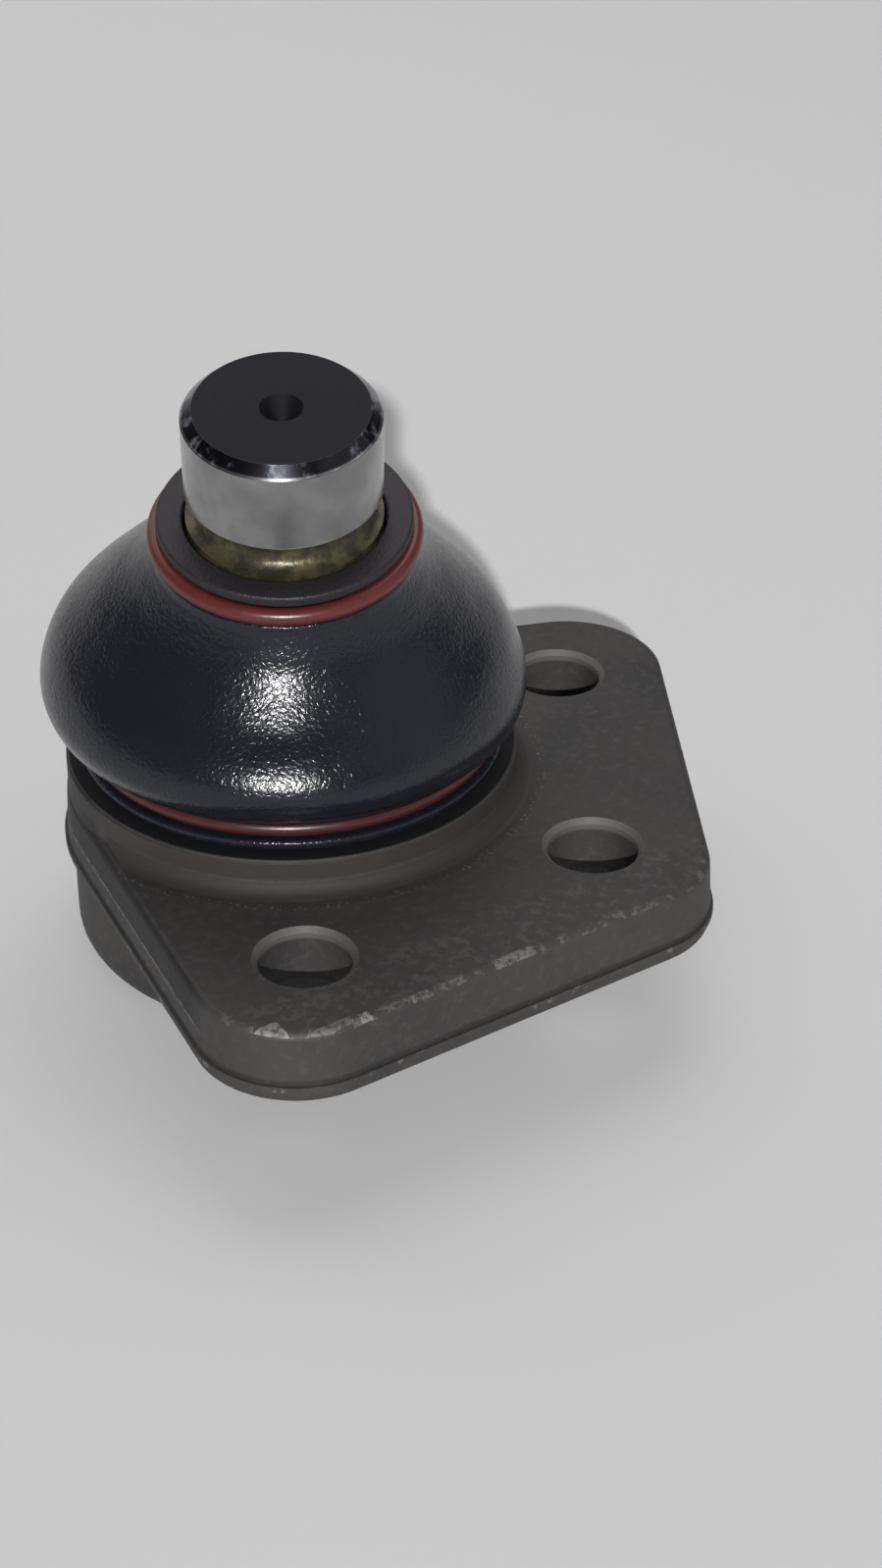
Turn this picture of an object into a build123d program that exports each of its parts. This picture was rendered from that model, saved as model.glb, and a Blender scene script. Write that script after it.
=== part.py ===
from build123d import *
import os
from math import acos, cos, degrees, radians, sin, sqrt, tan

# Flanged suspension ball joint, in millimetres.
# Row frame: the origin is where the socket's axis crosses the flange's underside, +Z runs up
# that axis, and +X points at the nose of the flange, which is symmetrical about the XZ plane.

# Forged flange
flange_thickness = 9.0
parting_depth = 7.0          # forging parting line below the top face
draft_angle = 3.0
flange_edge_round = 1.0
underside_edge_round = 0.8
flash_reach = 0.3            # trimmed flash that stands out along the parting line
flash_thickness = 0.7
hole_circle_radius = 39.0
hole_spread = 60.0           # angle between neighbouring holes
hole_diameter = 10.5         # clears an M10 bolt
hole_chamfer = 0.6
front_edge_distance = 13.6   # hole centre to a front edge, at the parting line
side_edge_distance = 13.7    # hole centre to a side edge, at the parting line
nose_corner_radius = 11.0
shoulder_corner_radius = 12.0

# Socket, turned from the same forging
cup_radius = 26.5
cup_rim_round = 3.5
collar_radius = 26.7
collar_height = 4.2          # above the flange's top face
collar_cove = 1.9
collar_edge_break = 0.4
shoulder_radius = 27.2       # flange outline round the back of the socket
spigot_radius = 20.5         # inside the boot's base
spigot_height = 4.8          # above the collar
mouth_radius = 14.6
mouth_flare = 1.0

# Ball stud
ball_radius = 15.5
ball_centre = 8.0            # above the flange's underside
ball_flat_depth = 1.0
neck_radius = 8.5
neck_length = 2.0            # straight part above the ball
shank_radius = 11.0
shank_start = 25.0           # these heights are above the ball's centre
groove_bottom = 40.8
groove_width = 3.9
groove_depth = 1.8
head_height = 10.6
head_chamfer = 1.25
centre_hole_mouth = 4.8      # diameter of its 60 degree countersink
centre_hole_pilot = 1.6
centre_hole_angle = 60.0
centre_hole_depth = 5.7

# Bearing shells, preload spring and closing plate
race_wall = 2.5
race_split_gap = 0.2
race_top = 6.4               # above the ball's centre
race_floor = 0.25            # the lower shell's end, above the ball's lowest point
race_floor_hole_radius = 9.0
race_mouth_land = 1.0        # the upper shell's flat end, inside the ball's surface
race_groove_count = 6
race_groove_width = 2.4
race_groove_depth = 0.7
closing_plate_thickness = 2.2
closing_plate_step = 1.2     # its seat is this much wider than the bearing bore
closing_plate_dome = 0.8
closing_plate_dome_radius = 9.0
rolled_lip_thickness = 1.0
rolled_lip_overlap = 3.0
spring_thickness = 0.8
spring_cone_height = 0.65
spring_inner_radius = 9.5
spring_edge_gap = 1.0        # inside the bearing shell's edge

# Boot and its two clamp rings
boot_wall = 2.0
boot_base_wall = 1.85        # under the lower ring
boot_base_lip = 1.3
boot_base_lip_reach = 1.3    # beyond the ring's centre line
boot_bead_reach = 1.3
boot_bead_height = 1.2
boot_neck_wall = 1.95        # under the upper ring
boot_neck_lip = 1.5
boot_neck_lip_reach = 0.8
boot_neck_skirt = 1.3
boot_neck_skirt_reach = 0.5
boot_neck_height = 40.6      # top of the neck's lip, above the ball's centre
boot_seam = 0.3              # overlap of the bellows with the base and the neck
lower_ring_wire = 0.9
upper_ring_wire = 1.0
# Share of the way up the bellows, and how far it stands out from a straight cone
boot_bulge = [(0.08, 3.3), (0.20, 5.2), (0.33, 5.5), (0.48, 4.1), (0.64, 2.4), (0.82, 1.0)]
boot_stations = 18

# Attitude of the stud
lean_angle = 12.5
lean_azimuth = -61.5         # from +X, seen from above

# Clearances
plate_fit = 0.02             # closing plate in its seat
running_fit = 0.06
end_float = 0.1
soft_gap = 0.3
ring_gap = 0.15
cut_past = 1.0               # a cutter's overshoot beyond the face that it opens

flange_top = flange_thickness
parting_line = flange_top - parting_depth
collar_top = flange_top + collar_height
spigot_top = collar_top + spigot_height
race_radius = ball_radius + race_wall
bearing_bore = race_radius + running_fit
plate_seat_radius = bearing_bore + closing_plate_step
spring_space = spring_thickness + spring_cone_height
race_bottom = ball_centre - ball_radius + race_floor
plate_top = race_bottom - end_float - spring_space
lip_top = plate_top - closing_plate_thickness
bottom_rim = lip_top - rolled_lip_thickness
socket_shoulder = ball_centre + race_top + end_float
boot_base = collar_top + soft_gap
boot_base_bore = spigot_radius + soft_gap
lower_groove = boot_base_bore + boot_base_wall
lower_ring_radius = lower_groove + ring_gap + lower_ring_wire
boot_neck_bore = shank_radius + soft_gap
upper_groove = boot_neck_bore + boot_neck_wall
upper_ring_radius = upper_groove + ring_gap + upper_ring_wire
boot_bead_radius = lower_ring_radius + boot_bead_reach
boot_skirt_radius = upper_ring_radius + boot_neck_skirt_reach
lower_ring_height = boot_base + boot_base_lip + lower_ring_wire
bellows_start = lower_ring_height + lower_ring_wire + boot_bead_height
upper_ring_height = boot_neck_height - boot_neck_lip - upper_ring_wire
bellows_end = upper_ring_height - upper_ring_wire - boot_neck_skirt
bellows_rise = ball_centre + bellows_end - bellows_start
lean_axis = Axis((0, 0, ball_centre), (-sin(radians(lean_azimuth)), cos(radians(lean_azimuth)), 0))


def turned(points):
    """Revolves a closed (radius, height) outline about the Z axis."""
    outline = Plane.XZ * make_face(Polyline(*points, close=True))
    return revolve(outline, Axis.Z)


def leaned(shape, share=1.0):
    """Tips a shape that was made upright by a share of the stud's lean, about the ball's centre."""
    return shape.rotate(lean_axis, lean_angle * share)


def polar(radius, angle):
    return (radius * cos(radians(angle)), radius * sin(radians(angle)))


def hole_places():
    return [polar(hole_circle_radius, turn * hole_spread) for turn in (-1, 0, 1)]


def flange_outline():
    """The flange at its parting line: two front edges, two side edges and the round back."""
    front_normal = hole_spread / 2
    front_distance = hole_circle_radius * cos(radians(front_normal)) + front_edge_distance
    swing = degrees(acos((shoulder_radius - side_edge_distance) / hole_circle_radius))
    side_normal = hole_spread + swing
    nose = (front_distance / cos(radians(front_normal)), 0)
    # The shoulder corner is where the front edge meets the side edge
    half_turn = radians(side_normal - front_normal)
    along = (shoulder_radius - front_distance * cos(half_turn)) / sin(half_turn)
    front_x, front_y = polar(front_distance, front_normal)
    tangent_x, tangent_y = polar(along, front_normal + 90)
    shoulder = (front_x + tangent_x, front_y + tangent_y)
    touch = polar(shoulder_radius, side_normal)
    corners = [nose, shoulder, touch, (touch[0], -touch[1]), (shoulder[0], -shoulder[1])]
    plan = make_face(Polyline(*corners, close=True))
    nose_corner = plan.vertices().sort_by(Axis.X)[-1]
    plan = fillet(nose_corner, nose_corner_radius)
    shoulder_corners = [plan.vertices().sort_by(Axis.Y)[0], plan.vertices().sort_by(Axis.Y)[-1]]
    plan = fillet(shoulder_corners, shoulder_corner_radius)
    return plan + Circle(shoulder_radius)


def make_housing():
    plan = flange_outline()
    upper = extrude(Pos(0, 0, parting_line) * plan, parting_depth, taper=draft_angle)
    upper = fillet(upper.edges().group_by(Axis.Z)[-1], flange_edge_round)
    lower = extrude(plan, parting_line, taper=draft_angle)
    lower = fillet(lower.edges().group_by(Axis.Z)[-1], underside_edge_round)
    lower = Pos(0, 0, parting_line) * (Rot(180, 0, 0) * lower)
    flash = extrude(offset(plan, flash_reach), flash_thickness / 2, both=True)
    flash = Pos(0, 0, parting_line) * flash
    cup = turned([(0, bottom_rim), (cup_radius, bottom_rim), (cup_radius, flange_top), (0, flange_top)])
    cup = fillet(cup.edges().group_by(Axis.Z)[0], cup_rim_round)
    collar = turned([
        (0, parting_line),
        (collar_radius, parting_line),
        (collar_radius, collar_top - collar_edge_break),
        (collar_radius - collar_edge_break, collar_top),
        (spigot_radius, collar_top),
        (spigot_radius, spigot_top),
        (0, spigot_top),
    ])
    inset = parting_depth * sin(radians(draft_angle)) + flange_edge_round
    cove_floor = Pos(0, 0, flange_top - collar_cove)
    cove_limit = extrude(cove_floor * offset(plan, -inset), 2 * collar_cove)
    body = upper + lower + flash + cup + collar + (make_cove() & cove_limit)
    body -= make_cavity()
    for x, y in hole_places():
        body -= Pos(x, y, 0) * make_bolt_hole()
    return body


def make_cove():
    """The concave round between the collar and the flange's top face."""
    foot = (collar_radius + collar_cove, flange_top)
    head = (collar_radius, flange_top + collar_cove)
    inside = collar_radius - collar_cove
    below = flange_top - collar_cove
    outline = RadiusArc(foot, head, collar_cove)
    outline += Polyline(head, (inside, head[1]), (inside, below), (foot[0], below), foot)
    return revolve(Plane.XZ * make_face(outline), Axis.Z)


def make_cavity():
    lip_opening = plate_seat_radius - rolled_lip_overlap
    return turned([
        (0, bottom_rim - cut_past),
        (lip_opening, bottom_rim - cut_past),
        (lip_opening, lip_top),
        (plate_seat_radius, lip_top),
        (plate_seat_radius, plate_top),
        (bearing_bore, plate_top),
        (bearing_bore, socket_shoulder),
        (mouth_radius, socket_shoulder),
        (mouth_radius + mouth_flare, spigot_top),
        (mouth_radius + mouth_flare, spigot_top + cut_past),
        (0, spigot_top + cut_past),
    ])


def make_bolt_hole():
    """A through hole with a chamfer at each face of the flange."""
    radius = hole_diameter / 2
    mouth = radius + hole_chamfer
    return turned([
        (0, flange_top + cut_past),
        (mouth, flange_top + cut_past),
        (mouth, flange_top),
        (radius, flange_top - hole_chamfer),
        (radius, hole_chamfer),
        (mouth, 0),
        (mouth, -cut_past),
        (0, -cut_past),
    ])


def make_ball_stud():
    neck_start = sqrt(ball_radius ** 2 - neck_radius ** 2)
    groove_top = groove_bottom + groove_width
    head_top = groove_top + head_height
    shank = turned([
        (0, 0),
        (neck_radius, 0),
        (neck_radius, neck_start + neck_length),
        (shank_radius, shank_start),
        (shank_radius, head_top - head_chamfer),
        (shank_radius - head_chamfer, head_top),
        (0, head_top),
    ])
    ball = Sphere(ball_radius)
    flat = Pos(0, 0, ball_flat_depth - ball_radius) * Box(
        2 * ball_radius, 2 * ball_radius, ball_radius,
        align=(Align.CENTER, Align.CENTER, Align.MAX))
    stud = ball - flat + shank
    # The clamp bolt's groove is part of a ring whose section is a circle through the groove's edges
    groove_round = (groove_width ** 2 / 4 + groove_depth ** 2) / (2 * groove_depth)
    ring_radius = shank_radius - groove_depth + groove_round
    stud -= Pos(0, 0, groove_bottom + groove_width / 2) * Torus(ring_radius, groove_round)
    pilot_radius = centre_hole_pilot / 2
    sink_radius = centre_hole_mouth / 2
    sink_depth = (sink_radius - pilot_radius) / tan(radians(centre_hole_angle / 2))
    stud -= turned([
        (0, head_top + cut_past),
        (sink_radius, head_top + cut_past),
        (sink_radius, head_top),
        (pilot_radius, head_top - sink_depth),
        (pilot_radius, head_top - centre_hole_depth + pilot_radius),
        (0, head_top - centre_hole_depth),
    ])
    return leaned(Pos(0, 0, ball_centre) * stud)


def make_race(bottom, top, hole_radius):
    """One of the two bearing shells: a ring, bored to the ball, with grease channels inside."""
    shell = turned([
        (hole_radius, bottom),
        (race_radius, bottom),
        (race_radius, top),
        (hole_radius, top),
    ])
    centre = Pos(0, 0, ball_centre)
    shell -= centre * Sphere(ball_radius + running_fit)
    ball_channel = Sphere(ball_radius + running_fit + race_groove_depth)
    for number in range(race_groove_count):
        slot = Rot(0, 0, number * 360 / race_groove_count) * Box(
            2 * race_radius, race_groove_width, 4 * ball_radius,
            align=(Align.MIN, Align.CENTER, Align.CENTER))
        shell -= centre * (ball_channel & slot)
    return shell


def make_closing_plate():
    """A pressed disc with a shallow dome, held against its step by the rolled lip."""
    radius = plate_seat_radius - plate_fit
    dome_low = lip_top + closing_plate_dome
    step = closing_plate_dome_radius + closing_plate_dome
    return turned([
        (0, dome_low),
        (closing_plate_dome_radius, dome_low),
        (step, lip_top),
        (radius, lip_top),
        (radius, plate_top),
        (0, plate_top),
    ])


def make_preload_spring():
    """A conical disc spring between the closing plate and the lower bearing shell."""
    outer = race_radius - spring_edge_gap
    return turned([
        (spring_inner_radius, plate_top + spring_cone_height),
        (outer, plate_top),
        (outer, plate_top + spring_thickness),
        (spring_inner_radius, plate_top + spring_space),
    ])


def boot_section(height, radius):
    """A circle of the bellows, which tips with its share of the way up."""
    share = (height - bellows_start) / bellows_rise
    ease = share * share * (3 - 2 * share)
    return leaned(Pos(0, 0, height) * Circle(radius), ease)


def make_bellows(shrink):
    """The bellows' solid form, drawn in by shrink: circles along a smooth side profile."""
    side = []
    for share, bulge in [(0, 0)] + boot_bulge + [(1, 0)]:
        cone_radius = boot_bead_radius + share * (boot_skirt_radius - boot_bead_radius)
        side.append((bellows_start + share * bellows_rise, cone_radius + bulge))
    profile = Spline(*side)
    stations = [profile @ (number / boot_stations) for number in range(boot_stations + 1)]
    sections = [boot_section(station.X, station.Y - shrink) for station in stations]
    return loft(sections, ruled=True)


def make_boot():
    base_lip_radius = lower_ring_radius + boot_base_lip_reach
    groove_low = boot_base + boot_base_lip - ring_gap
    groove_high = lower_ring_height + lower_ring_wire + ring_gap
    base = turned([
        (boot_base_bore, boot_base),
        (base_lip_radius, boot_base),
        (base_lip_radius, groove_low),
        (lower_groove, groove_low),
        (lower_groove, groove_high),
        (boot_bead_radius, groove_high),
        (boot_bead_radius, bellows_start + boot_seam),
        (boot_base_bore, bellows_start + boot_seam),
    ])
    neck_lip_radius = upper_ring_radius + boot_neck_lip_reach
    neck_low = ball_centre + bellows_end
    neck_top = ball_centre + boot_neck_height
    ring_low = neck_low + boot_neck_skirt - ring_gap
    ring_high = neck_top - boot_neck_lip + ring_gap
    neck = turned([
        (boot_neck_bore, neck_low - boot_seam),
        (boot_skirt_radius, neck_low - boot_seam),
        (boot_skirt_radius, ring_low),
        (upper_groove, ring_low),
        (upper_groove, ring_high),
        (neck_lip_radius, ring_high),
        (neck_lip_radius, neck_top),
        (boot_neck_bore, neck_top),
    ])
    return make_bellows(0) - make_bellows(boot_wall) + base + leaned(neck)


def make_lower_clamp_ring():
    return Pos(0, 0, lower_ring_height) * Torus(lower_ring_radius, lower_ring_wire)


def make_upper_clamp_ring():
    ring = Torus(upper_ring_radius, upper_ring_wire)
    return leaned(Pos(0, 0, ball_centre + upper_ring_height) * ring)


split_low = ball_centre - race_split_gap / 2
split_high = ball_centre + race_split_gap / 2
race_end = ball_centre + race_top
upper_race_hole = sqrt(ball_radius ** 2 - race_top ** 2) - race_mouth_land
parts = {
    "housing": make_housing(),
    "ball_stud": make_ball_stud(),
    "lower_race": make_race(race_bottom, split_low, race_floor_hole_radius),
    "upper_race": make_race(split_high, race_end, upper_race_hole),
    "closing_plate": make_closing_plate(),
    "preload_spring": make_preload_spring(),
    "boot": make_boot(),
    "lower_clamp_ring": make_lower_clamp_ring(),
    "upper_clamp_ring": make_upper_clamp_ring(),
}

os.makedirs("parts", exist_ok=True)
for name, shape in parts.items():
    export_step(shape, "parts/" + name + ".step")
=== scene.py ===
from math import cos, pi, radians, sin, tau
from types import SimpleNamespace

import bpy
from mathutils import Matrix, Vector


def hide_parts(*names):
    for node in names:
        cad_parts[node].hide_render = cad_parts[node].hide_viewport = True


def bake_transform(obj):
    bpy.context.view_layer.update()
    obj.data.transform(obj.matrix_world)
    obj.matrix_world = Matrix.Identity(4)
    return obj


# Dressing of the suspension ball joint: boot, metal and rubber surfaces, light and camera.
# Lengths of the object are in millimetres until MM turns them into metres.
MM = 0.001

# The same sizes as in part.py
FLANGE_TOP = 9.0
BOTTOM_RIM = -12.0
COLLAR_RADIUS = 26.7
COLLAR_TOP = 13.2
COLLAR_COVE = 1.9
COLLAR_EDGE_BREAK = 0.4
PARTING_LINE = 2.0
HOLE_CIRCLE_RADIUS = 39.0
HOLE_AZIMUTHS = (-60.0, 0.0, 60.0)
FRONT_AZIMUTH = -30.0       # which way the front edge faces
SIDE_AZIMUTH = -128.96      # which way the side edge faces
SIDE_WALL = 27.7            # its distance from the socket's axis
BALL_CENTRE = 8.0
LEAN_ANGLE = 12.5
LEAN_AZIMUTH = -61.5
SHANK_RADIUS = 11.0
HEAD_CHAMFER = 1.25
GROOVE_TOP = 44.7           # this and the head's top are above the ball's centre
HEAD_TOP = 55.3

# Boot, above the flange's underside up to the bellows, and above the ball's centre from there
BOOT_BASE = 13.5
BASE_LIP_RADIUS = 25.0
LOWER_GROOVE_RADIUS = 22.65
LOWER_GROOVE = (14.65, 16.75)
BEAD_RADIUS = 25.0
BELLOWS_START = 17.8
BELLOWS_END = 35.8
SKIRT_RADIUS = 14.9
UPPER_GROOVE_RADIUS = 13.25
UPPER_GROOVE = (36.95, 39.25)
NECK_LIP_RADIUS = 14.3
NECK_TOP = 40.6
NECK_BORE = 11.3
# Wider and thinner than the solid's, so that the boot clears the housing and the stud when it bends
BOOT_BASE_BORE = 21.2
BOOT_WALL = 1.6
BASE_ROUND = 0.45           # rounds on the corners of the base and the neck
NECK_ROUND = 0.4
LONGEST_ROUND = 0.45        # the most of a side that a round may take
BOOT_SEGMENTS = 192
CURVE_STEPS = 8             # pieces of a curve between two of its points
# Share of the way up the bellows, and how far it stands out from a straight cone, fuller than the solid
BOOT_BULGE = [
    (0.0, 0.0), (0.08, 3.3), (0.20, 5.3), (0.33, 5.9), (0.48, 5.5),
    (0.64, 3.5), (0.82, 1.1), (0.93, 0.2), (1.0, 0.0)]
# The bellows has taken a small set to one side, halfway up
BOOT_SET = 1.1
BOOT_SET_AZIMUTH = -154.0
# The lean squeezes the rubber under it, which stands out further there than at the sides, low down
BOOT_SQUEEZE = [
    (0.0, 0.0), (0.08, 1.2), (0.20, 2.5), (0.33, 2.7), (0.48, 1.9),
    (0.64, 0.9), (0.82, 0.3), (0.93, 0.1), (1.0, 0.0)]

# Marks, painted shade and painted highlights on the flange
FOOT_LAND_RADIUS = 30.0     # the turned land round the collar's foot
# height of the painted highlight line on the side walls, where their painted shade ends
PAINTED_EDGE_LINE_HEIGHT = 5.0
COUNTERSINK_RADIUS = 5.85
CENTRE_HOLE_RADIUS = 2.4    # in the stud's end face
EDGE_WEAR_DEPTH = (1.0, 0.7)    # below the flange's top, where wear on its edge fades in
FRONT_WEAR_START = (36.0, 40.0)     # how far forward the front edge's wear fades in
SIDE_PAINTED_LIGHT_END = (36.0, 31.0)       # how far forward the side walls' painted shade and painted highlight line fade out
# Knocks on the front edge: place along it, half length, distances of both sides from the axis, strength
EDGE_KNOCKS = [
    (30.6, 2.2, 42.0, 46.0, 1.0), (24.0, 2.6, 45.6, 46.6, 0.5), (19.9, 0.6, 45.9, 46.9, 1.0),
    (13.0, 1.0, 46.2, 47.2, 0.5), (0.6, 2.6, 45.9, 47.2, 0.6)]

# Floor and backdrop: metres from the object over which the floor's light gives way to a set tone
FLOOR_FADE = (0.36, 0.8)
FLOOR_REACH = 4.0
BACKDROP_TONE = 0.57
ROOM = (0.075, 0.075, 0.080)
HORIZON_FADE = (0.02, 0.22)     # how far up the backdrop stays pale, and where the room's tone takes over

# The photographer's view
CAMERA_PLACE = (153.79, -277.69, 208.97)
CAMERA_FORWARD = (-0.36657, 0.75877, -0.53842)
CAMERA_LENS = 72.05
AWAY_DIRECTION = (-0.435, 0.900, 0.0)

# Lamps, which all point at the boot: name, place, diameter and watts
LAMP_TARGET = (0.0, 0.0, 25.0)
LAMPS = [
    ("flash", (1125.0, -2288.0, 1315.0), 56, 84),   # far behind the lens and just left of it
    ("window", (-470.0, 250.0, 450.0), 500, 0.6),
    ("right", (560.0, 100.0, 420.0), 700, 0.35),
    ("overhead", (-80.0, 390.0, 675.0), 620, 1.4)]

# Colours that several marks share: painted shade, and bare steel for wear and for painted highlights
PAINTED_SHADE_COLOUR = (0.030, 0.029, 0.029)
BARE_STEEL_AND_HIGHLIGHT = (0.27, 0.26, 0.25)



def flat_direction(azimuth):
    """The level unit vector at an azimuth in degrees."""
    return Vector((cos(radians(azimuth)), sin(radians(azimuth)), 0))


ball_centre = Vector((0, 0, BALL_CENTRE))
lean_axis = Vector((-sin(radians(LEAN_AZIMUTH)), cos(radians(LEAN_AZIMUTH)), 0))
stud_direction = Matrix.Rotation(radians(LEAN_ANGLE), 3, lean_axis) @ Vector((0, 0, 1))


def smoothstep(value):
    value = min(1.0, max(0.0, value))
    return value * value * (3 - 2 * value)


class Graph:
    """One material and short calls that add nodes to it."""

    def __init__(self, name):
        self.material = bpy.data.materials.new(name)
        self.material.use_nodes = True
        self.tree = self.material.node_tree
        self.tree.nodes.clear()
        self.place = self.add("ShaderNodeTexCoord").outputs["Object"]

    def add(self, kind, **settings):
        node = self.tree.nodes.new(kind)
        for key, value in settings.items():
            setattr(node, key, value)
        return node

    def put(self, socket, value):
        if isinstance(value, bpy.types.NodeSocket):
            self.tree.links.new(value, socket)
        else:
            socket.default_value = value

    def math(self, operation, first, second=0.0, clamp=False):
        node = self.add("ShaderNodeMath", operation=operation, use_clamp=clamp)
        self.put(node.inputs[0], first)
        self.put(node.inputs[1], second)
        return node.outputs[0]

    def step(self, value, low, high):
        """0 up to low, 1 from high on, and smooth between them; low may be above high."""
        node = self.add("ShaderNodeMapRange", interpolation_type="SMOOTHSTEP")
        self.put(node.inputs["Value"], value)
        if low <= high:
            self.put(node.inputs["From Min"], low)
            self.put(node.inputs["From Max"], high)
        else:
            self.put(node.inputs["From Min"], high)
            self.put(node.inputs["From Max"], low)
            self.put(node.inputs["To Min"], 1.0)
            self.put(node.inputs["To Max"], 0.0)
        return node.outputs["Result"]

    def band(self, value, low, high, soft):
        """1 between low and high, fading to 0 over soft on both sides."""
        return self.product(self.step(value, low - soft, low), self.step(value, high + soft, high))

    def step_mm(self, value, low, high):
        """The step of a length, with its ends in millimetres."""
        return self.step(value, low * MM, high * MM)

    def band_mm(self, value, low, high, soft):
        return self.band(value, low * MM, high * MM, soft * MM)

    def product(self, first, *others):
        for other in others:
            first = self.math("MULTIPLY", first, other)
        return first

    def greatest(self, first, *others):
        for other in others:
            first = self.math("MAXIMUM", first, other)
        return first

    def vector(self, operation, first, second=(0, 0, 0)):
        node = self.add("ShaderNodeVectorMath", operation=operation)
        self.put(node.inputs[0], first)
        self.put(node.inputs[1], second)
        return node.outputs["Value" if operation in ("DOT_PRODUCT", "LENGTH") else "Vector"]

    def noise(self, size, detail=3.0, rough=0.5, where=None, distortion=0.0):
        """Fractal noise with features of about size millimetres."""
        node = self.add("ShaderNodeTexNoise")
        self.put(node.inputs["Vector"], where or self.place)
        node.inputs["Scale"].default_value = 1 / (size * MM)
        node.inputs["Detail"].default_value = detail
        node.inputs["Roughness"].default_value = rough
        node.inputs["Distortion"].default_value = distortion
        return node.outputs["Fac"]

    def mix(self, factor, first, second):
        """A colour or number between first and second."""
        kind = "RGBA" if isinstance(first, tuple) or getattr(first, "type", "") == "RGBA" else "FLOAT"
        node = self.add("ShaderNodeMix", data_type=kind)
        ends = [socket for socket in node.inputs if socket.name in ("A", "B") and socket.enabled]
        self.put(node.inputs["Factor"], factor)
        self.put(ends[0], first + (1.0,) if isinstance(first, tuple) else first)
        self.put(ends[1], second + (1.0,) if isinstance(second, tuple) else second)
        return [socket for socket in node.outputs if socket.enabled][0]

    def bump(self, height, depth, under=None):
        """Relief of about depth millimetres where height goes from 0 to 1."""
        node = self.add("ShaderNodeBump")
        node.inputs["Strength"].default_value = 1.0
        node.inputs["Distance"].default_value = depth * MM
        self.put(node.inputs["Height"], height)
        if under:
            self.put(node.inputs["Normal"], under)
        return node.outputs["Normal"]

    def finish(self, **inputs):
        shader = self.add("ShaderNodeBsdfPrincipled")
        for name, value in inputs.items():
            socket = shader.inputs[name.replace("_", " ")]
            self.put(socket, value + (1.0,) if isinstance(value, tuple) and len(value) == 3 else value)
        output = self.add("ShaderNodeOutputMaterial")
        self.tree.links.new(shader.outputs[0], output.inputs["Surface"])
        return self.material

    def radius(self):
        """Distance from the socket's axis, in metres."""
        return self.vector("LENGTH", self.vector("MULTIPLY", self.place, (1, 1, 0)))

    def height(self):
        """Height over the flange's underside, in metres."""
        return self.vector("DOT_PRODUCT", self.place, (0, 0, 1))

    def lines(self, axis, value, size, detail, rough):
        """Noise that changes with one value alone, as tool marks do."""
        place = self.add("ShaderNodeCombineXYZ")
        self.put(place.inputs[axis], value)
        return self.noise(size, detail, rough, where=place.outputs[0])

    def facing(self, direction):
        """How far the surface faces a direction of the row frame, from -1 to 1."""
        return self.vector("DOT_PRODUCT", self.add("ShaderNodeTexCoord").outputs["Normal"], direction)


def dress(node, material):
    """Gives a CAD node its material."""
    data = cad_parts[node].data
    data.materials.clear()
    data.materials.append(material)


def make_boot_rubber():
    graph = Graph("boot rubber")
    pebbles = graph.noise(0.48, 1.0, 0.5, distortion=0.6)
    grain = graph.noise(0.18, 2.0, 0.5)
    waves = graph.noise(9.0, 2.0, 0.5)
    relief = graph.bump(waves, 0.3)
    relief = graph.bump(pebbles, 0.075, relief)
    relief = graph.bump(grain, 0.012, relief)
    bloom = graph.step(graph.noise(14.0, 4.0, 0.6), 0.4, 0.75)
    colour = graph.mix(bloom, (0.0085, 0.0095, 0.0150), (0.0120, 0.0125, 0.0180))
    from_centre = graph.vector("SUBTRACT", graph.place, tuple(ball_centre * MM))
    along = graph.vector("DOT_PRODUCT", from_centre, tuple(stud_direction))
    neck = graph.step_mm(along, UPPER_GROOVE[1] - 0.3, UPPER_GROOVE[1] + 0.3)
    colour = graph.mix(neck, colour, (0.016, 0.013, 0.016))
    roughness = graph.mix(graph.noise(2.5, 3.0), 0.19, 0.25)
    roughness = graph.mix(neck, roughness, 0.5)
    return graph.finish(Base_Color=colour, Roughness=roughness, Normal=relief, Specular_IOR_Level=0.42)


def make_red_ring():
    graph = Graph("red ring")
    streaks = graph.noise(1.6, 3.0, 0.6)
    colour = graph.mix(streaks, (0.080, 0.015, 0.015), (0.120, 0.023, 0.022))
    # Painted shade: the lower ring is coloured darker than the upper one, for the shade under the boot's
    # bottom bulge.
    low = graph.step_mm(graph.height(), BELLOWS_END, BELLOWS_START)
    colour = graph.mix(low, colour, (0.055, 0.013, 0.014))
    relief = graph.bump(graph.noise(0.5, 2.0), 0.01)
    roughness = graph.mix(graph.noise(1.1, 2.0), 0.24, 0.38)
    return graph.finish(Base_Color=colour, Roughness=roughness, Normal=relief)


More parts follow.
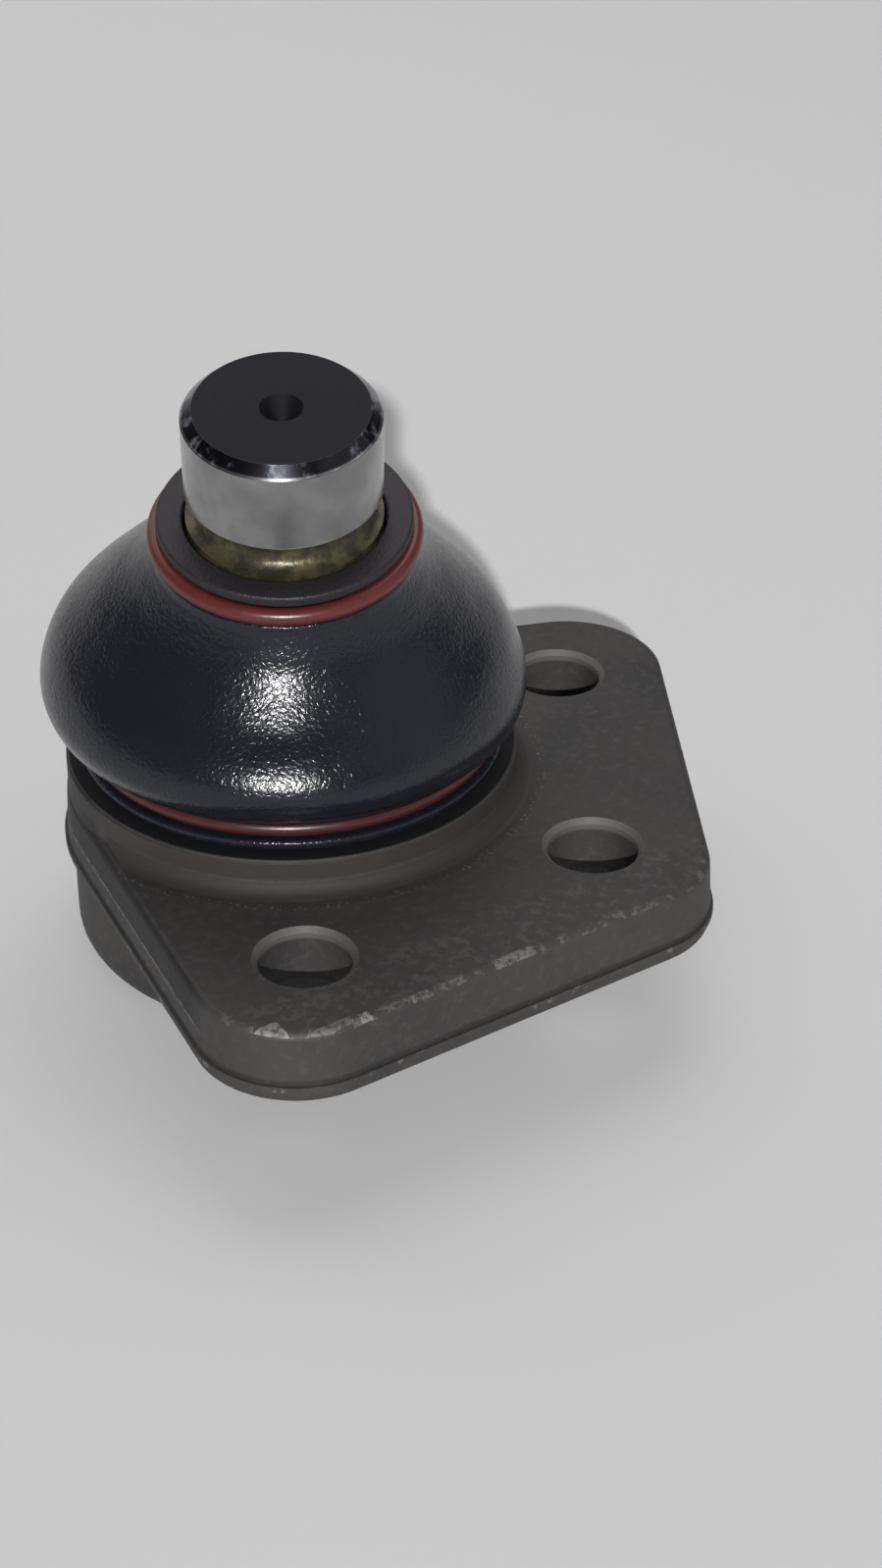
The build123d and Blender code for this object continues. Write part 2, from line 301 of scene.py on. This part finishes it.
def make_stud_metal():
    """Ground head, dark turned end face, a chamfer with painted reflections and a painted highlight on its
    rim, and a greasy, yellowed groove, told apart by place on the stud.
    """
    graph = Graph("stud metal")
    from_centre = graph.vector("SUBTRACT", graph.place, tuple(ball_centre * MM))
    along = graph.vector("DOT_PRODUCT", from_centre, tuple(stud_direction))
    foot = graph.add("ShaderNodeVectorMath", operation="SCALE")
    foot.inputs[0].default_value = tuple(stud_direction)
    graph.put(foot.inputs["Scale"], along)
    across = graph.vector("LENGTH", graph.vector("SUBTRACT", from_centre, foot.outputs["Vector"]))
    face_edge = SHANK_RADIUS - HEAD_CHAMFER
    chamfer_start = HEAD_TOP - HEAD_CHAMFER
    on_head = graph.step_mm(along, GROOVE_TOP + 1, GROOVE_TOP + 2)
    end_face = graph.product(graph.step_mm(across, face_edge + 0.02, face_edge - 0.08), on_head)
    groove = graph.step_mm(along, GROOVE_TOP + 0.1, GROOVE_TOP - 0.1)
    chamfer = graph.step_mm(along, chamfer_start + 0.02, chamfer_start + 0.12)

    grinding = graph.lines("X", along, 0.12, 3.0, 0.7)
    turning = graph.lines("X", across, 0.25, 2.0, 0.6)
    smears = graph.noise(5.0, 4.0, 0.55)

    ground = graph.mix(graph.step(smears, 0.35, 0.7), (0.26, 0.26, 0.262), (0.35, 0.35, 0.35))
    black = graph.mix(turning, (0.018, 0.0175, 0.021), (0.031, 0.030, 0.035))
    hole = graph.step_mm(across, CENTRE_HOLE_RADIUS + 0.1, CENTRE_HOLE_RADIUS - 0.1)
    black = graph.mix(hole, black, (0.026, 0.025, 0.029))
    grease_patches = graph.step(graph.noise(2.4, 4.0, 0.6), 0.42, 0.62)
    grease = graph.mix(grease_patches, (0.045, 0.042, 0.028), (0.105, 0.093, 0.050))
    # Painted highlight: a pale line along the chamfer's lower rim, where its edge catches the light.
    chamfer_rim_highlight = graph.step_mm(along, chamfer_start + 0.30, chamfer_start + 0.12)
    # Painted reflections: pale bluish patches on the dark chamfer, made less metallic so that they show as
    # glints whatever the chamfer reflects.
    painted_glint_mottle = graph.step(graph.noise(2.2, 4.0, 0.55), 0.50, 0.66)
    chamfer_colour = graph.mix(painted_glint_mottle, (0.050, 0.050, 0.060), (0.21, 0.22, 0.25))
    chamfer_colour = graph.mix(chamfer_rim_highlight, chamfer_colour, (0.45, 0.45, 0.47))
    colour = graph.mix(chamfer, ground, chamfer_colour)
    colour = graph.mix(end_face, colour, black)
    colour = graph.mix(groove, colour, grease)
    roughness = graph.mix(end_face, graph.mix(smears, 0.16, 0.26), 0.52)
    roughness = graph.mix(hole, roughness, 0.75)
    roughness = graph.mix(groove, roughness, 0.35)
    metallic = graph.mix(groove, 1.0, 0.5)
    painted_glint_patches = graph.product(painted_glint_mottle, graph.math("SUBTRACT", chamfer, end_face, clamp=True))
    metallic = graph.mix(painted_glint_patches, metallic, 0.55)
    relief = graph.bump(grinding, 0.003)
    relief = graph.bump(graph.product(turning, end_face), 0.01, relief)
    relief = graph.bump(graph.product(graph.noise(0.9, 3.0), groove), 0.10, relief)
    return graph.finish(Base_Color=colour, Roughness=roughness, Metallic=metallic, Normal=relief)


def housing_measures(graph):
    """What the marks on the housing are told apart by: places in metres, and how far a face looks up."""
    at = SimpleNamespace()
    at.radius = graph.radius()
    at.height = graph.height()
    at.up = graph.facing((0, 0, 1))
    at.steepness = graph.math("ABSOLUTE", at.up)
    at.sideways = graph.step(at.steepness, 0.35, 0.15)
    at.flat_place = graph.vector("MULTIPLY", graph.place, (1, 1, 0))
    at.forward = graph.vector("DOT_PRODUCT", graph.place, flat_direction(FRONT_AZIMUTH))
    at.along_front = graph.vector("DOT_PRODUCT", graph.place, flat_direction(FRONT_AZIMUTH - 90))
    # Both side edges are told by one direction, with the far half mirrored on to the near one
    mirrored = graph.vector("MULTIPLY", graph.vector("ABSOLUTE", graph.place), (0, -1, 0))
    mirrored = graph.vector("ADD", mirrored, graph.vector("MULTIPLY", graph.place, (1, 0, 0)))
    at.to_side = graph.vector("DOT_PRODUCT", mirrored, flat_direction(SIDE_AZIMUTH))
    at.on_top = graph.band_mm(at.height, FLANGE_TOP - 0.2, FLANGE_TOP + 0.4, 0.1)
    low, high = EDGE_WEAR_DEPTH
    at.by_top_edge = graph.step_mm(at.height, FLANGE_TOP - low, FLANGE_TOP - high)
    at.ragged = graph.noise(0.8, 4.0, 0.7)
    return at


def scale_colour(graph, scale):
    """Forged scale in large patches, with paler flecks and dark pits."""
    patches = graph.noise(18.0, 3.0, 0.55)
    colour = graph.mix(graph.step(patches, 0.30, 0.70), (0.051, 0.049, 0.0485), (0.069, 0.065, 0.0625))
    colour = graph.mix(graph.step(scale, 0.45, 0.78), colour, (0.088, 0.083, 0.079))
    pits = graph.step(graph.noise(0.9, 4.0, 0.7), 0.64, 0.76)
    return graph.mix(graph.product(pits, 0.5), colour, (0.035, 0.033, 0.032))


def turned_side(graph, at):
    """Where the collar's side is turned, above the round at its foot."""
    side = graph.band_mm(at.radius, COLLAR_RADIUS - 0.1, COLLAR_RADIUS + 0.1, 0.05)
    cove_top = FLANGE_TOP + COLLAR_COVE
    return graph.product(at.sideways, side, graph.step_mm(at.height, cove_top - 0.3, cove_top))


def collar_colour(graph, at, colour, turned):
    """The collar's turned side, its dark edge, its top painted near black as the shade under the boot's
    lip, and the land round its foot.
    """
    colour = graph.mix(turned, colour, (0.047, 0.0415, 0.039))
    edge_height = COLLAR_TOP - COLLAR_EDGE_BREAK
    edge = graph.product(
        graph.step_mm(at.height, edge_height - 0.05, edge_height + 0.05),
        graph.step_mm(at.radius, COLLAR_RADIUS - 0.22, COLLAR_RADIUS - 0.14))
    colour = graph.mix(edge, colour, (0.045, 0.042, 0.040))
    # Painted shade: the collar's top is near black, as the shade under the boot's lip.
    painted_shade_under_boot = graph.step_mm(at.height, COLLAR_TOP - 0.15, COLLAR_TOP - 0.05)
    colour = graph.mix(painted_shade_under_boot, colour, (0.014, 0.014, 0.016))
    foot_land = graph.product(graph.step_mm(at.radius, FOOT_LAND_RADIUS, FOOT_LAND_RADIUS - 0.5), at.on_top)
    return graph.mix(graph.product(foot_land, 0.7), colour, (0.055, 0.049, 0.047))


def foot_rim_highlight(graph, at):
    """Painted highlight: bright specks along the rim of the land round the collar's foot."""
    rim = graph.band_mm(at.radius, FOOT_LAND_RADIUS - 0.7, FOOT_LAND_RADIUS, 0.3)
    specks = graph.step(graph.noise(0.5, 3.0, 0.6), 0.56, 0.66)
    return graph.product(rim, at.on_top, graph.product(specks, 0.5))


def front_edge_wear(graph, at):
    """A thin broken line on the front edge, and the knocks of EDGE_KNOCKS."""
    edge = graph.product(
        graph.band(at.up, 0.45, 0.93, 0.12), at.by_top_edge, graph.step_mm(at.forward, *FRONT_WEAR_START))
    broken = graph.step(graph.noise(1.4, 4.0, 0.65), 0.50, 0.60)
    wear = graph.product(edge, broken, 0.35)
    upper_edge = graph.product(at.by_top_edge, graph.step(at.up, 0.3, 0.5))
    for place, half_length, inner, outer, strength in EDGE_KNOCKS:
        knock = graph.product(
            graph.band_mm(at.along_front, place - half_length, place + half_length, 0.5),
            graph.band_mm(at.forward, inner, outer, 0.25),
            upper_edge)
        torn = graph.step(graph.math("ADD", knock, at.ragged), 1.38, 1.52)
        wear = graph.greatest(wear, graph.product(torn, strength))
    return wear


def flash_ridge_highlight(graph, at):
    """A painted highlight, broken into spots, along the trimmed flash ridge where it catches the light."""
    flash = graph.band_mm(at.height, PARTING_LINE - 0.35, PARTING_LINE + 0.35, 0.08)
    off_holes = graph.step(at.steepness, 0.98, 0.6)
    highlight_spots = graph.step(graph.noise(2.6, 4.0, 0.65), 0.56, 0.64)
    return graph.product(flash, off_holes, graph.product(highlight_spots, 0.55))


def side_walls(graph, at):
    """Where the flange's two side walls are."""
    return graph.product(
        graph.step_mm(at.to_side, SIDE_WALL - 1.6, SIDE_WALL - 1.2),
        graph.step_mm(at.forward, *SIDE_PAINTED_LIGHT_END),
        graph.step(at.up, 0.97, 0.75))


def wall_colour(graph, at, colour, walls):
    """A painted shadow line over the flash, and painted shade on the upper part of the side walls, as dark
    as the flange's top.
    """
    # Painted shadow: a dark line just above the flash ridge, for the shade under its overhang.
    painted_shadow_over_flash = graph.band_mm(at.height, PARTING_LINE + 0.45, PARTING_LINE + 0.9, 0.25)
    colour = graph.mix(graph.product(painted_shadow_over_flash, at.sideways, 0.55), colour, PAINTED_SHADE_COLOUR)
    # Painted shade: above the painted highlight line the side walls are as dark as the flange's top.
    upper = graph.step_mm(at.height, PAINTED_EDGE_LINE_HEIGHT - 0.1, PAINTED_EDGE_LINE_HEIGHT + 0.1)
    return graph.mix(graph.product(walls, upper), colour, PAINTED_SHADE_COLOUR)


def side_edge_highlight(graph, at, walls):
    """A painted highlight line on the side walls, where the painted shade above it ends; it stands for the
    light along the top edge.
    """
    line = graph.band_mm(at.height, PAINTED_EDGE_LINE_HEIGHT - 0.25, PAINTED_EDGE_LINE_HEIGHT + 0.05, 0.1)
    return graph.product(line, walls, graph.step(at.ragged, 0.40, 0.55), 0.5)


def bare_countersinks(graph, at):
    """The countersink and the first of the bore are bare at each drilled hole."""
    upper = graph.step_mm(at.height, FLANGE_TOP - 1.5, FLANGE_TOP - 1.0)
    holes = []
    for azimuth in HOLE_AZIMUTHS:
        centre = flat_direction(azimuth) * HOLE_CIRCLE_RADIUS * MM
        from_hole = graph.vector("LENGTH", graph.vector("SUBTRACT", at.flat_place, centre))
        inside = graph.step_mm(from_hole, COUNTERSINK_RADIUS + 0.10, COUNTERSINK_RADIUS - 0.05)
        holes.append(graph.product(inside, upper, 0.4))
    return graph.greatest(*holes)


def make_forged_steel():
    """Forged scale all over, with a turned collar, wear on the edges, and painted shade and painted
    highlights on the collar, the flash and the side walls.
    """
    graph = Graph("forged steel")
    at = housing_measures(graph)
    scale = graph.noise(1.1, 4.0, 0.6)
    grain = graph.noise(0.35, 3.0, 0.6)
    turned = turned_side(graph, at)
    walls = side_walls(graph, at)
    cove = graph.product(
        graph.band_mm(at.radius, COLLAR_RADIUS + 0.1, COLLAR_RADIUS + COLLAR_COVE - 0.1, 0.1),
        graph.step_mm(at.height, FLANGE_TOP + 0.02, FLANGE_TOP + 0.12))
    wear_and_highlights = graph.greatest(
        foot_rim_highlight(graph, at), front_edge_wear(graph, at), flash_ridge_highlight(graph, at),
        side_edge_highlight(graph, at, walls), bare_countersinks(graph, at))

    colour = collar_colour(graph, at, scale_colour(graph, scale), turned)
    colour = wall_colour(graph, at, colour, walls)
    # Painted shade: the cove in the corner at the collar's foot is coloured darker.
    colour = graph.mix(cove, colour, (0.038, 0.035, 0.033))
    # Bare steel for wear on the front edge and the countersinks, and for the painted highlights on the
    # flash, the side walls and the foot land's rim.
    colour = graph.mix(wear_and_highlights, colour, BARE_STEEL_AND_HIGHLIGHT)
    roughness = graph.mix(graph.noise(2.2, 4.0, 0.6), 0.56, 0.70)
    roughness = graph.mix(turned, roughness, 0.62)
    roughness = graph.mix(cove, roughness, 0.7)
    metallic = graph.mix(graph.greatest(cove, turned), 0.5, 0.3)
    tool_marks = graph.lines("Z", at.height, 0.18, 3.0, 0.7)
    relief = graph.bump(graph.noise(5.0, 3.0, 0.5), 0.10)
    relief = graph.bump(scale, 0.035, relief)
    relief = graph.bump(grain, 0.020, relief)
    relief = graph.bump(graph.product(tool_marks, turned), 0.02, relief)
    return graph.finish(Base_Color=colour, Roughness=roughness, Metallic=metallic, Normal=relief)


def make_plate_steel():
    graph = Graph("plate steel")
    lines = graph.lines("X", graph.radius(), 0.4, 3.0, 0.6)
    stains = graph.noise(6.0, 4.0, 0.6)
    colour = graph.mix(graph.step(stains, 0.35, 0.7), (0.42, 0.41, 0.38), (0.52, 0.51, 0.49))
    relief = graph.bump(lines, 0.02)
    roughness = graph.mix(stains, 0.3, 0.45)
    return graph.finish(Base_Color=colour, Roughness=roughness, Metallic=0.9, Normal=relief)


def make_spring_steel():
    graph = Graph("spring steel")
    oil = graph.noise(3.0, 4.0, 0.6)
    colour = graph.mix(graph.step(oil, 0.4, 0.65), (0.20, 0.20, 0.22), (0.29, 0.28, 0.27))
    relief = graph.bump(graph.noise(0.4, 3.0), 0.01)
    roughness = graph.mix(oil, 0.28, 0.42)
    return graph.finish(Base_Color=colour, Roughness=roughness, Metallic=0.9, Normal=relief)


def make_bearing_plastic():
    graph = Graph("bearing plastic")
    cloud = graph.noise(5.0, 3.0, 0.5)
    colour = graph.mix(cloud, (0.80, 0.77, 0.68), (0.86, 0.84, 0.77))
    relief = graph.bump(graph.noise(0.5, 2.0), 0.015)
    roughness = graph.mix(graph.noise(1.5, 2.0), 0.38, 0.5)
    return graph.finish(Base_Color=colour, Roughness=roughness, Normal=relief)


def rounded(points, radius, steps=4):
    """An open outline whose inner corners are replaced by short arcs."""
    result = [points[0]]
    for before, corner, after in zip(points, points[1:], points[2:]):
        a, b, c = Vector(before), Vector(corner), Vector(after)
        reach = min(radius, (a - b).length * LONGEST_ROUND, (c - b).length * LONGEST_ROUND)
        start = b + (a - b).normalized() * reach
        end = b + (c - b).normalized() * reach
        for number in range(steps + 1):
            share = number / steps
            result.append(tuple(start.lerp(b, share).lerp(b.lerp(end, share), share)))
    result.append(points[-1])
    return result


def curve_through(points, steps):
    """Catmull-Rom curve through points, with the ends' slopes taken from their neighbours."""
    vectors = [Vector(point) for point in points]
    vectors = [vectors[0] * 2 - vectors[1]] + vectors + [vectors[-1] * 2 - vectors[-2]]
    result = []
    for index in range(1, len(vectors) - 2):
        before, start, end, after = vectors[index - 1:index + 3]
        for number in range(steps):
            t = number / steps
            result.append(0.5 * (
                2 * start + (end - before) * t
                + (2 * before - 5 * start + 4 * end - after) * t ** 2
                + (3 * start - before - 3 * end + after) * t ** 3))
    result.append(vectors[-2])
    return [tuple(point) for point in result]


def boot_outline():
    """The boot's closed section as (radius, height) before it leans: up the outside and down the inside."""
    neck_low = BALL_CENTRE + BELLOWS_END
    rise = neck_low - BELLOWS_START
    side = []
    for share, bulge in BOOT_BULGE:
        cone_radius = BEAD_RADIUS + share * (SKIRT_RADIUS - BEAD_RADIUS)
        side.append((cone_radius + bulge, BELLOWS_START + share * rise))
    base = rounded([
        (BOOT_BASE_BORE, BOOT_BASE),
        (BASE_LIP_RADIUS, BOOT_BASE),
        (BASE_LIP_RADIUS, LOWER_GROOVE[0]),
        (LOWER_GROOVE_RADIUS, LOWER_GROOVE[0]),
        (LOWER_GROOVE_RADIUS, LOWER_GROOVE[1]),
        (BEAD_RADIUS, LOWER_GROOVE[1]),
        (BEAD_RADIUS, BELLOWS_START),
    ], BASE_ROUND)
    bellows = curve_through(side, CURVE_STEPS)
    neck = rounded([
        (SKIRT_RADIUS, neck_low),
        (SKIRT_RADIUS, BALL_CENTRE + UPPER_GROOVE[0]),
        (UPPER_GROOVE_RADIUS, BALL_CENTRE + UPPER_GROOVE[0]),
        (UPPER_GROOVE_RADIUS, BALL_CENTRE + UPPER_GROOVE[1]),
        (NECK_LIP_RADIUS, BALL_CENTRE + UPPER_GROOVE[1]),
        (NECK_LIP_RADIUS, BALL_CENTRE + NECK_TOP),
        (NECK_BORE, BALL_CENTRE + NECK_TOP),
        (NECK_BORE, neck_low),
    ], NECK_ROUND)
    inside = [(radius - BOOT_WALL, height) for radius, height in reversed(bellows[1:-1])]
    inside.append((BOOT_BASE_BORE, BELLOWS_START))
    return base + bellows[1:] + neck[1:] + inside


def boot_squeeze(share):
    """How far the rubber under the lean stands out at a share of the way up the bellows."""
    points = curve_through(BOOT_SQUEEZE, CURVE_STEPS)
    for (low, start), (high, end) in zip(points, points[1:]):
        if low <= share < high:
            return start + (end - start) * (share - low) / (high - low)
    return 0.0


def boot_point(radius, height, turn):
    """A point of the boot, leaned by its share of the way up the bellows."""
    neck_low = BALL_CENTRE + BELLOWS_END
    share = (height - BELLOWS_START) / (neck_low - BELLOWS_START)
    facing_lean = max(0.0, cos(turn - radians(LEAN_AZIMUTH)))
    radius += boot_squeeze(share) * facing_lean ** 2
    point = Vector((radius * cos(turn), radius * sin(turn), height))
    if 0 < share < 1:
        point += BOOT_SET * sin(pi * share) * flat_direction(BOOT_SET_AZIMUTH)
    lean = Matrix.Rotation(radians(LEAN_ANGLE) * smoothstep(share), 3, lean_axis)
    return ball_centre + lean @ (point - ball_centre)


def make_boot(material):
    outline = boot_outline()
    points = []
    for radius, height in outline:
        for segment in range(BOOT_SEGMENTS):
            points.append(boot_point(radius, height, tau * segment / BOOT_SEGMENTS) * MM)
    faces = []
    for ring in range(len(outline)):
        upper = (ring + 1) % len(outline)
        for segment in range(BOOT_SEGMENTS):
            beside = (segment + 1) % BOOT_SEGMENTS
            faces.append((
                ring * BOOT_SEGMENTS + segment, ring * BOOT_SEGMENTS + beside,
                upper * BOOT_SEGMENTS + beside, upper * BOOT_SEGMENTS + segment))
    data = bpy.data.meshes.new("boot_bellows")
    data.from_pydata(points, [], faces)
    data.update()
    data.shade_smooth()
    data.materials.append(material)
    boot = bpy.data.objects.new("boot_bellows", data)
    bpy.context.scene.collection.objects.link(boot)
    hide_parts("boot")
    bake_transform(boot)


def make_floor():
    graph = Graph("floor paper")
    # The paper is a little paler towards the photographer
    away = graph.vector("DOT_PRODUCT", graph.place, AWAY_DIRECTION)
    colour = graph.mix(graph.step(away, -0.12, 0.20), (0.72, 0.72, 0.725), (0.70, 0.70, 0.695))
    # Far out of the light the camera sees it as pale as it is near the object
    distance = graph.vector("LENGTH", graph.place)
    far = graph.step(distance, *FLOOR_FADE)
    colour = graph.mix(far, colour, (0.0, 0.0, 0.0))
    rays = graph.add("ShaderNodeLightPath")
    seen = graph.greatest(rays.outputs["Is Camera Ray"], rays.outputs["Is Glossy Ray"])
    glow = graph.product(seen, far, BACKDROP_TONE)
    material = graph.finish(
        Base_Color=colour, Roughness=0.85, Specular_IOR_Level=0.0,
        Emission_Color=(1.0, 1.0, 1.0), Emission_Strength=glow)
    data = bpy.data.meshes.new("floor")
    level = BOTTOM_RIM * MM
    ways = [(-1, -1), (1, -1), (1, 1), (-1, 1)]
    corners = [(way_x * FLOOR_REACH, way_y * FLOOR_REACH, level) for way_x, way_y in ways]
    data.from_pydata(corners, [], [(0, 1, 2, 3)])
    data.materials.append(material)
    floor = bpy.data.objects.new("floor", data)
    bpy.context.scene.collection.objects.link(floor)


def aim(thing, place, target):
    thing.location = Vector(place) * MM
    direction = (Vector(target) - Vector(place)).normalized()
    thing.rotation_euler = direction.to_track_quat("-Z", "Y").to_euler()


def make_lamp(name, place, size, watts):
    """A round soft white lamp; place and size are in millimetres."""
    lamp = bpy.data.lights.new(name, "AREA")
    lamp.shape = "DISK"
    lamp.size = size * MM
    lamp.energy = watts
    thing = bpy.data.objects.new(name, lamp)
    bpy.context.scene.collection.objects.link(thing)
    aim(thing, place, LAMP_TARGET)


def make_camera():
    camera = bpy.data.cameras.new("camera")
    camera.sensor_fit = "AUTO"
    camera.sensor_width = 36
    camera.lens = CAMERA_LENS
    camera.clip_start = 0.01
    thing = bpy.data.objects.new("camera", camera)
    bpy.context.scene.collection.objects.link(thing)
    place = Vector(CAMERA_PLACE)
    aim(thing, place, place + Vector(CAMERA_FORWARD))
    bpy.context.scene.camera = thing


def make_world():
    """A dim room; the camera and the gloss see it as pale as the floor near the horizon."""
    world = bpy.data.worlds.new("room")
    world.use_nodes = True
    tree = world.node_tree
    direction = tree.nodes.new("ShaderNodeTexCoord").outputs["Generated"]
    split = tree.nodes.new("ShaderNodeSeparateXYZ")
    tree.links.new(direction, split.inputs[0])
    low = tree.nodes.new("ShaderNodeMapRange")
    low.interpolation_type = "SMOOTHSTEP"
    tree.links.new(split.outputs["Z"], low.inputs["Value"])
    ends = {"From Min": HORIZON_FADE[0], "From Max": HORIZON_FADE[1], "To Min": 1.0, "To Max": 0.0}
    for name, value in ends.items():
        low.inputs[name].default_value = value
    rays = tree.nodes.new("ShaderNodeLightPath")
    seen = tree.nodes.new("ShaderNodeMath")
    seen.operation = "MAXIMUM"
    tree.links.new(rays.outputs["Is Camera Ray"], seen.inputs[0])
    tree.links.new(rays.outputs["Is Glossy Ray"], seen.inputs[1])
    factor = tree.nodes.new("ShaderNodeMath")
    factor.operation = "MULTIPLY"
    tree.links.new(seen.outputs[0], factor.inputs[0])
    tree.links.new(low.outputs["Result"], factor.inputs[1])
    colour = tree.nodes.new("ShaderNodeMix")
    colour.data_type = "RGBA"
    dim, pale = [socket for socket in colour.inputs if socket.name in ("A", "B") and socket.enabled]
    dim.default_value = ROOM + (1.0,)
    pale.default_value = (BACKDROP_TONE, BACKDROP_TONE, BACKDROP_TONE, 1.0)
    tree.links.new(factor.outputs[0], colour.inputs["Factor"])
    output = [socket for socket in colour.outputs if socket.enabled][0]
    tree.links.new(output, tree.nodes["Background"].inputs["Color"])
    bpy.context.scene.world = world


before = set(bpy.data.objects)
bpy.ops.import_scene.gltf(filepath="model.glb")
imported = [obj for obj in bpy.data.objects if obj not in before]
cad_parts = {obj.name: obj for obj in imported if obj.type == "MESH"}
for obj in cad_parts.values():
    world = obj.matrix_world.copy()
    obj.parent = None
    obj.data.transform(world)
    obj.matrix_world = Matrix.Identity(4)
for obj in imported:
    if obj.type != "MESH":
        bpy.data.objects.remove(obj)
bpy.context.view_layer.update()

red_ring = make_red_ring()
dress("housing", make_forged_steel())
dress("ball_stud", make_stud_metal())
dress("lower_clamp_ring", red_ring)
dress("upper_clamp_ring", red_ring)
dress("closing_plate", make_plate_steel())
dress("preload_spring", make_spring_steel())
bearing_plastic = make_bearing_plastic()
dress("lower_race", bearing_plastic)
dress("upper_race", bearing_plastic)
make_boot(make_boot_rubber())

make_floor()
make_world()
make_camera()
for lamp_row in LAMPS:
    make_lamp(*lamp_row)
bpy.context.scene.view_settings.view_transform = "Standard"
